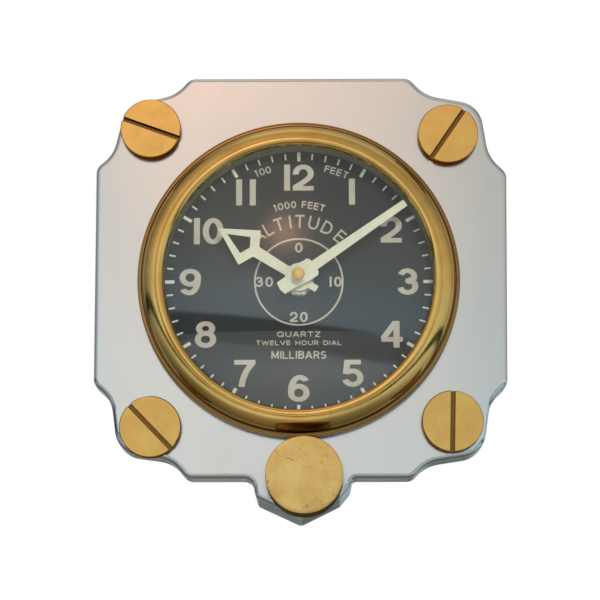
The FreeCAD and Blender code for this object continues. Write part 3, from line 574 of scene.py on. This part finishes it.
def lathe(shape, profile, steps, offset=None):
    """Turns a closed (radius, y) profile round the Y axis; offset(step, index) moves a point outward."""
    rings = []
    for step in range(steps):
        turn = 2 * math.pi * step / steps
        ring = []
        for index, (radius, y) in enumerate(profile):
            reach = radius + (offset(step, index) if offset else 0.0)
            ring.append(shape.verts.new((reach * math.sin(turn), y, reach * math.cos(turn))))
        rings.append(ring)
    count = len(profile)
    for step in range(steps):
        here, there = rings[step], rings[(step + 1) % steps]
        for index in range(count):
            follow = (index + 1) % count
            shape.faces.new((here[index], there[index], there[follow], here[follow]))


def arc_points(centre, radii, start, end, steps):
    """Points of an elliptical arc, in degrees counted anticlockwise from +X."""
    points = []
    for step in range(steps + 1):
        angle = math.radians(start + (end - start) * step / steps)
        points.append((centre[0] + radii[0] * math.cos(angle), centre[1] + radii[1] * math.sin(angle)))
    return points


def three_point_arc(first, middle, last, steps):
    """Points of the circular arc through three points."""
    (ax, ay), (bx, by), (cx, cy) = first, middle, last
    a, b, c = ax * ax + ay * ay, bx * bx + by * by, cx * cx + cy * cy
    divisor = 2 * (ax * (by - cy) + bx * (cy - ay) + cx * (ay - by))
    x = (a * (by - cy) + b * (cy - ay) + c * (ay - by)) / divisor
    y = (a * (cx - bx) + b * (ax - cx) + c * (bx - ax)) / divisor
    radius = math.hypot(ax - x, ay - y)
    start = math.degrees(math.atan2(ay - y, ax - x))
    end = math.degrees(math.atan2(cy - y, cx - x))
    if abs(end - start) > 180:
        end += 360 if end < start else -360
    return arc_points((x, y), (radius, radius), start, end, steps)


# ---------------------------------------------------------------- bezel


def at(radius, height):
    """Profile point at a height in millimetres in front of the plate."""
    return (radius * MM, PLATE_FRONT - height * MM)


def bezel_profile():
    """Closed section of the bezel, from the lip over the crown to the flange and the spigot."""
    lip = [(BEZEL_BORE, LIP_BACK), (BEZEL_BORE, 11.5)]
    lip += three_point_arc((BEZEL_BORE, 11.5), (65.8, 12.7), (67.5, 13.2), 6)[1:]
    groove = [(68.5, 13.15), (68.72, 13.02), (68.85, 12.72), (69.05, 12.72), (69.2, 12.98)]
    crown = three_point_arc((69.2, 12.98), (73.4, 10.9), (75.3, 6.4), 16)[1:]
    step = [(75.4, 4.35), (75.5, 4.2), (75.9, 4.2), (76.05, 4.35), (76.1, 4.85), (76.25, FLANGE_TOP)]
    edge = [(77.3, FLANGE_TOP), (BEZEL_OUTER, 4.8), (BEZEL_OUTER, 0.45), (77.3, 0.3), (77.3, 0.0)]
    spigot = [
        (SPIGOT_OUTER, 0.0), (SPIGOT_OUTER, SPIGOT_END), (SPIGOT_INNER, SPIGOT_END), (SPIGOT_INNER, LIP_BACK)]
    return [at(*point) for point in lip + groove + crown + step + edge + spigot]


def make_bezel():
    """Turned ring of brass, in place of the plainer CAD one."""
    shape = bmesh.new()
    lathe(shape, bezel_profile(), 360)
    for face in shape.faces:
        face.smooth = True
    ring = place("bezel", shape, "bezel_brass")
    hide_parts("bezel_ring")
    ring.data.set_sharp_from_angle(angle=math.radians(40))


def make_reeding():
    """Fine upright teeth round the flange."""
    ridge = [(77.6, 4.95), (BEZEL_OUTER, 4.8), (BEZEL_OUTER, 0.5), (77.6, 0.35)]
    inner = [(76.6, 0.35), (76.6, 4.95)]
    shape = bmesh.new()

    def tooth(step, index):
        raised = step % 2 == 0 and index in (1, 2)
        return REEDING_DEPTH * MM if raised else 0.0

    lathe(shape, [at(*point) for point in ridge + inner], REEDING_TEETH * 2, tooth)
    place("bezel_reeding", shape, "bezel_brass")


# ---------------------------------------------------------------- knob


def make_knob():
    """Brass knob with a flat worn face, a rounded rim and a diamond-knurled side."""
    front, back = KNOB_LOW.y, KNOB_HIGH.y
    radius = KNOB_RADIUS - KNOB_INSET
    bore = 0.35 * radius
    face = [(bore, front), (0.7 * radius, front), (0.9 * radius, front)]
    rim = []
    for turn in (0.0, 0.4, 0.8, 1.2, 1.55):
        out, forward = KNOB_RIM * math.sin(turn), KNOB_RIM * math.cos(turn)
        rim.append((radius - KNOB_RIM + out, front + KNOB_RIM - forward))
    first_row = len(face) + len(rim)
    pitch = (back - front - KNURL_FRONT_MARGIN - KNURL_BACK_MARGIN) / KNURL_ROWS
    side = [(radius, front + KNURL_FRONT_MARGIN + pitch * row) for row in range(KNURL_ROWS + 1)]
    last_row = first_row + len(side)
    tail = [(radius, back - KNOB_BEVEL_LENGTH), (radius - KNOB_BEVEL_DEPTH, back), (5 * MM, back)]
    shape = bmesh.new()

    def knurl(step, index):
        inside = first_row < index < last_row - 1
        return -KNURL_DEPTH if inside and (step + index) % 2 else 0.0

    lathe(shape, face + rim + side + tail, KNURL_STEPS, knurl)
    # The lathe also joins the two ends inside the knob: that tube goes, and flat discs close both ends.
    tube = [f for f in shape.faces if all(v.co.xz.length < 1.03 * bore for v in f.verts)]
    bmesh.ops.delete(shape, geom=tube, context="FACES")
    bmesh.ops.holes_fill(shape, edges=[e for e in shape.edges if e.is_boundary])
    bmesh.ops.triangulate(shape, faces=[f for f in shape.faces if len(f.verts) > 4])
    bmesh.ops.translate(shape, verts=shape.verts, vec=(KNOB_CENTRE.x, 0, KNOB_CENTRE.z))
    smooth_limit = front + KNOB_RIM + 0.3 * MM
    for poly in shape.faces:
        poly.smooth = all(v.co.y < smooth_limit for v in poly.verts)
    knob = place("knob", shape, "knob_brass", "knob")
    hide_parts("knob_brass")


# ---------------------------------------------------------------- dial print


def curve_points(start, control, end, steps):
    """Points of a quadratic curve."""
    points = []
    for step in range(steps + 1):
        t = step / steps
        a, b, c = (1 - t) ** 2, 2 * t * (1 - t), t * t
        points.append(tuple(a * s + b * m + c * e for s, m, e in zip(start, control, end)))
    return points


def digit_strokes(digit):
    """Centre lines of a digit, about its middle, in units of which it is DIGIT_HEIGHT high."""
    if digit == "0":
        return [arc_points((0, 0), (3.6, 5.4), 0, 360, 40)]
    if digit == "1":
        return [[(0, -6.55), (0, 6.55)]]
    if digit == "2":
        bowl = arc_points((0.05, 2.0), (3.65, 3.4), 188, -32, 24)
        sweep = bowl + curve_points(bowl[-1], (1.6, -1.6), (-3.5, -4.6), 8)[1:] + [(-4.0, -5.42)]
        return [sweep, [(-5.1, -5.42), (5.1, -5.42)]]
    if digit == "3":
        top = arc_points((-0.1, 2.6), (3.25, 2.8), 162, -88, 26)
        low = arc_points((0, -2.25), (3.7, 3.15), 88, -166, 26)
        return [top, low, [(-1.1, 0.35), (1.2, 0.35)]]
    if digit == "4":
        return [[(2.15, -6.55), (2.15, 6.55)], [(-5.2, -2.5), (5.2, -2.5)], [(1.75, 6.1), (-4.35, -2.1)]]
    if digit == "5":
        bowl = arc_points((-0.1, -2.15), (3.75, 3.3), 140, -162, 28)
        return [bowl, [(-3.35, 5.42), (3.9, 5.42)], [(-2.55, 6.4), (-3.35, -0.35)]]
    if digit == "6":
        stem = arc_points((0.35, -1.4), (4.05, 6.8), 190, 92, 20)
        hook = arc_points((0.3, 2.9), (3.3, 2.5), 88, 18, 12)
        return [arc_points((0, -2.15), (3.75, 3.25), 0, 360, 36), stem + hook]
    if digit == "7":
        return [[(-5.1, 5.42), (5.1, 5.42)], curve_points((4.2, 5.6), (-0.9, 0.2), (-1.5, -6.55), 14)]
    if digit == "8":
        upper = arc_points((0, 2.95), (3.2, 2.45), 0, 360, 32)
        return [upper, arc_points((0, -2.35), (3.7, 3.05), 0, 360, 36)]
    return [[(-x, -z) for x, z in stroke] for stroke in digit_strokes("6")]


def ribbon(shape, points, across, along, front):
    """Flat raised stroke along points in the dial plane, across wide where upright and along where level."""
    closed = math.dist(points[0], points[-1]) < CLOSED_GAP
    if closed:
        points = points[:-1]
    count = len(points)
    rows = []
    for i, (x, z) in enumerate(points):
        before = points[i - 1] if closed or i > 0 else points[i]
        after = points[(i + 1) % count] if closed or i < count - 1 else points[i]
        dx, dz = after[0] - before[0], after[1] - before[1]
        length = math.hypot(dx, dz)
        nx, nz = -dz / length, dx / length
        support = math.hypot(across * nx, along * nz)
        ox, oz = across ** 2 * nx / support / 2, along ** 2 * nz / support / 2
        sides = ((x + ox, z + oz), (x - ox, z - oz))
        layers = (front, front + INK_THICKNESS)
        rows.append([shape.verts.new((side[0], y, side[1])) for side in sides for y in layers])
    for i in range(count if closed else count - 1):
        here, there = rows[i], rows[(i + 1) % count]
        for p, q in ((0, 2), (2, 3), (3, 1), (1, 0)):
            shape.faces.new((here[p], there[p], there[q], here[q]))
    if not closed:
        for end in (rows[0], rows[-1]):
            shape.faces.new((end[0], end[2], end[3], end[1]))


def draw_strokes(shape, strokes, across, along):
    """Prints strokes on the dial, each a little higher than the one before."""
    for number, stroke in enumerate(strokes):
        ribbon(shape, stroke, across, along, PRINT_FRONT - STROKE_STEP * number)


def draw_number(shape, text, centre, height, widths_of_strokes, spread=1.0):
    """Number made of strokes, about a point of the dial; its height and stroke widths are in millimetres."""
    x, z = centre
    across, along = (width * MM for width in widths_of_strokes)
    scale = height * MM / DIGIT_HEIGHT
    gap = (ONES_GAP if set(text) == {"1"} else DIGIT_GAP) * spread
    widths = [ONE_WIDTH if digit == "1" else DIGIT_WIDTH for digit in text]
    cursor = -(sum(widths) + gap * (len(text) - 1)) / 2
    for digit, width in zip(text, widths):
        middle = cursor + width / 2
        strokes = []
        for stroke in digit_strokes(digit):
            strokes.append([(x + (middle + px) * scale, z + pz * scale) for px, pz in stroke])
        draw_strokes(shape, strokes, across, along)
        cursor += width + gap


def letter_strokes(letter):
    """Centre lines of a capital or a small figure, one high, about its middle."""
    top, low = 0.43, -0.43
    if letter == "A":
        return [[(-0.4, -0.5), (0, 0.5)], [(0.4, -0.5), (0, 0.5)], [(-0.25, -0.17), (0.25, -0.17)]]
    if letter == "B":
        upper = [(-0.3, top)] + arc_points((0.05, 0.24), (0.21, 0.19), 90, -90, 10) + [(-0.3, 0.05)]
        lower = [(-0.3, 0.05)] + arc_points((0.06, -0.19), (0.25, 0.24), 90, -90, 10) + [(-0.3, low)]
        return [[(-0.3, -0.5), (-0.3, 0.5)], upper, lower]
    if letter == "D":
        bowl = [(-0.34, top)] + arc_points((-0.06, 0), (0.42, top), 90, -90, 16) + [(-0.34, low)]
        return [[(-0.34, -0.5), (-0.34, 0.5)], bowl]
    if letter in "EFL":
        bars = {"E": (top, 0.02, low), "F": (top, 0.02), "L": (low,)}[letter]
        return [[(-0.28, -0.5), (-0.28, 0.5)]] + [[(-0.28, z), (0.3 if z else 0.24, z)] for z in bars]
    if letter == "H":
        return [[(-0.34, -0.5), (-0.34, 0.5)], [(0.34, -0.5), (0.34, 0.5)], [(-0.34, 0.02), (0.34, 0.02)]]
    if letter == "I":
        return [[(0, -0.5), (0, 0.5)]]
    if letter == "M":
        stems = [[(side * 0.4, -0.5), (side * 0.4, 0.5)] for side in (-1, 1)]
        return stems + [[(side * 0.38, 0.46), (0, -0.36)] for side in (-1, 1)]
    if letter in "OQ":
        tail = [[(0.1, -0.16), (0.42, -0.52)]] if letter == "Q" else []
        return [arc_points((0, 0), (0.4, top), 0, 360, 32)] + tail
    if letter == "R":
        bowl = [(-0.31, top)] + arc_points((0.04, 0.2), (0.25, 0.23), 90, -90, 10) + [(-0.31, -0.03)]
        return [[(-0.31, -0.5), (-0.31, 0.5)], bowl, [(0.04, -0.03), (0.34, -0.5)]]
    if letter == "S":
        upper = arc_points((0, 0.215), (0.27, 0.215), 25, 250, 16)
        return [upper, arc_points((0, -0.215), (0.29, 0.215), 100, -155, 18)]
    if letter == "T":
        return [[(0, -0.5), (0, 0.5)], [(-0.38, top), (0.38, top)]]
    if letter == "U":
        bowl = arc_points((0, -0.1), (0.35, 0.33), 180, 360, 18)[1:]
        return [[(-0.35, 0.5), (-0.35, -0.1)] + bowl + [(0.35, 0.5)]]
    if letter == "V":
        return [[(-0.4, 0.5), (0, -0.48)], [(0.4, 0.5), (0, -0.48)]]
    if letter == "W":
        outer = [[(side * 0.55, 0.5), (side * 0.28, -0.48)] for side in (-1, 1)]
        return outer + [[(0, 0.44), (side * 0.28, -0.48)] for side in (-1, 1)]
    if letter == "Z":
        return [[(-0.34, top), (0.34, top)], [(0.3, 0.4), (-0.3, -0.4)], [(-0.36, low), (0.36, low)]]
    if letter == "0":
        return [arc_points((0, 0), (0.3, top), 0, 360, 28)]
    if letter == "1":
        return [[(0.05, -0.5), (0.05, 0.5)], [(-0.16, 0.3), (0.05, 0.46)]]
    return []


def draw_letter(shape, letter, height, stretch, weight, centre, turn):
    """Puts one letter at a point of the dial, turned clockwise, as flat raised strokes."""
    cosine, sine = math.cos(turn), math.sin(turn)
    strokes = []
    for stroke in letter_strokes(letter):
        line = []
        for px, pz in stroke:
            u, v = px * height * stretch, pz * height
            line.append((centre[0] + u * cosine + v * sine, centre[1] - u * sine + v * cosine))
        strokes.append(line)
    draw_strokes(shape, strokes, weight, weight)


def draw_line(shape, text, z, height, width, weight):
    """A level line of letters, stretched to a width."""
    advances = [LETTER_WIDTHS[letter] + LETTER_GAP for letter in text]
    stretch = width / (height * (sum(advances) - LETTER_GAP))
    cursor = -width / 2
    for letter, advance in zip(text, advances):
        middle = cursor + (advance - LETTER_GAP) * height * stretch / 2
        draw_letter(shape, letter, height, stretch, weight, (middle, z), 0.0)
        cursor += advance * height * stretch


def on_dial(radius, clock_angle):
    """Point on the dial at a radius in metres and an angle in degrees clockwise from twelve."""
    turn = math.radians(clock_angle)
    return radius * math.sin(turn), radius * math.cos(turn)


def draw_arch(shape, text, angles, radius, height, stretch, weight):
    """Letters that stand on a circle round the middle of the dial."""
    for letter, angle in zip(text, angles):
        middle = on_dial(radius + height / 2, angle)
        draw_letter(shape, letter, height, stretch, weight, middle, math.radians(angle))


def make_ticks():
    """Sixty minute marks, every fifth one longer and broader."""
    shape = bmesh.new()
    for minute in range(60):
        inner, outer, width = HOUR_MARK if minute % 5 == 0 else MINUTE_MARK
        line = [on_dial(inner * MM, minute * 6), on_dial(outer * MM, minute * 6)]
        ribbon(shape, line, width * MM, width * MM, PRINT_FRONT)
    place("dial_ticks", shape, "print_tick")


def make_numerals():
    """Upright hour numerals."""
    shape = bmesh.new()
    for hour in range(1, 13):
        centre = on_dial((NUMERAL_RADIUS + NUMERAL_SHIFTS.get(hour, 0)) * MM, hour * 30)
        draw_number(shape, str(hour), centre, NUMERAL_HEIGHT, NUMERAL_STROKES)
    place("dial_numerals", shape, "print_cream")


def make_subdial():
    """Small circle of the altimeter style with its four numbers."""
    shape = bmesh.new()
    circle = arc_points((0, 0), (SUBDIAL_RADIUS * MM, SUBDIAL_RADIUS * MM), 0, 360, 120)
    ribbon(shape, circle, SUBDIAL_LINE * MM, SUBDIAL_LINE * MM, PRINT_FRONT)
    for text, (x, z) in SUBDIAL_NUMBERS.items():
        draw_number(shape, text, (x * MM, z * MM), SUBDIAL_HEIGHT, SUBDIAL_STROKES, spread=2.0)
    place("dial_subdial", shape, "print_cream")


def make_words():
    """Small lettering of the altimeter style; the lines below the small circle are generic."""
    shape = bmesh.new()
    for text, angles, radius, height, stretch, weight in ARCHES:
        draw_arch(shape, text, angles, radius * MM, height * MM, stretch, weight * MM)
    for text, z, height, length, weight in LEVEL_WORDS:
        draw_line(shape, text, z * MM, height * MM, length * MM, weight * MM)
    place("dial_words", shape, "print_cream")


make_bezel()
make_reeding()
make_knob()
make_ticks()
make_numerals()
make_subdial()
make_words()


# ---------------------------------------------------------------- studio


def hang_lamp(data):
    """Lamp that lights matt surfaces but is not seen in the metal or the glass."""
    lamp = bpy.data.objects.new(data.name, data)
    bpy.context.scene.collection.objects.link(lamp)
    lamp.visible_camera = False
    lamp.visible_glossy = False
    lamp.visible_transmission = False
    return lamp


def area_light(name, centre, size, power, colour):
    """Soft lamp aimed at the middle of the clock."""
    data = bpy.data.lights.new(name, "AREA")
    data.shape = "RECTANGLE"
    data.size, data.size_y = size
    data.energy = power
    data.color = colour
    lamp = hang_lamp(data)
    lamp.location = centre
    lamp.rotation_euler = (-Vector(centre)).to_track_quat("-Z", "Y").to_euler()


def overhead_light(name, power, spread):
    """Even soft light from straight above, for the floor."""
    data = bpy.data.lights.new(name, "SUN")
    data.energy = power
    data.angle = math.radians(spread)
    hang_lamp(data)


def make_floor():
    """Wide pale floor below the clock, which the metal does not mirror."""
    shape = bmesh.new()
    bmesh.ops.create_grid(shape, x_segments=24, y_segments=24, size=FLOOR_REACH)
    mesh = bpy.data.meshes.new("floor")
    shape.to_mesh(mesh)
    shape.free()
    mesh.materials.append(pale_floor())
    floor = bpy.data.objects.new("floor", mesh)
    bpy.context.scene.collection.objects.link(floor)
    floor.location = (0, 0, FLOOR_HEIGHT)
    floor.visible_glossy = False


def make_world():
    """Studio round the clock: a wide bright wall in front of it, dark to the sides, above and below.

    The camera itself sees an even white; the rest is what the metal reflects.
    """
    world = bpy.data.worlds.new("studio")
    bpy.context.scene.world = world
    world.use_nodes = True
    world.node_tree.nodes.clear()
    n = Nodes(world.node_tree)
    where = n.add("ShaderNodeTexCoord").outputs["Generated"]
    axes = n.add("ShaderNodeSeparateXYZ")
    n.link(where, axes.inputs["Vector"])
    side, facing, height = (axes.outputs[name] for name in "XYZ")
    height = n.maths("ADD", n.maths("MULTIPLY", side, ROOM_SLANT), height)
    room = n.blend(1.0, n.ramp(facing, ROOM_FACING), n.ramp(height, ROOM_HEIGHT), "MULTIPLY")
    room = n.blend(1.0, room, n.ramp(side, ROOM_SIDE), "MULTIPLY")
    towards = n.add("ShaderNodeVectorMath", operation="DOT_PRODUCT")
    towards.inputs[1].default_value = Vector(GLOW_TOWARDS).normalized()
    n.link(where, towards.inputs[0])
    room = n.blend(1.0, room, n.ramp(towards.outputs["Value"], GLOW), "ADD")
    path = n.add("ShaderNodeLightPath")
    background = n.add("ShaderNodeBackground")
    n.link(n.blend(path.outputs["Is Camera Ray"], room, (1, 1, 1, 1)), background.inputs["Color"])
    n.link(n.span(path.outputs["Is Diffuse Ray"], 0.0, 1.0, 1.0, MATT_SHARE), background.inputs["Strength"])
    n.link(background.outputs["Background"], n.add("ShaderNodeOutputWorld").inputs["Surface"])


def make_camera():
    """Camera below the axis of the dial, turned up and a little aside."""
    level = math.cos(CAMERA_PITCH)
    forward = Vector((-math.sin(CAMERA_YAW) * level, math.cos(CAMERA_YAW) * level, math.sin(CAMERA_PITCH)))
    right = Vector((math.cos(CAMERA_YAW), math.sin(CAMERA_YAW), 0))
    up = right.cross(forward)
    target = Vector((0, PLATE_FRONT, 0))
    data = bpy.data.cameras.new("camera")
    data.lens = CAMERA_LENS
    data.sensor_width = CAMERA_SENSOR
    camera = bpy.data.objects.new("camera", data)
    bpy.context.scene.collection.objects.link(camera)
    camera.location = target - right * CAMERA_SIDE - up * CAMERA_RISE - forward * CAMERA_DISTANCE
    camera.rotation_euler = Matrix((right, up, -forward)).transposed().to_euler()
    bpy.context.scene.camera = camera


make_floor()
make_world()
make_camera()
area_light("key", centre=(0.30, -1.90, 0.54), size=(0.30, 0.30), power=20, colour=(1.0, 0.97, 0.92))
area_light("fill", centre=(1.2, -1.2, 0.2), size=(1.2, 1.2), power=3, colour=(0.90, 0.95, 1.0))
overhead_light("overhead", power=1.9, spread=50)
bpy.context.scene.view_settings.view_transform = "Standard"
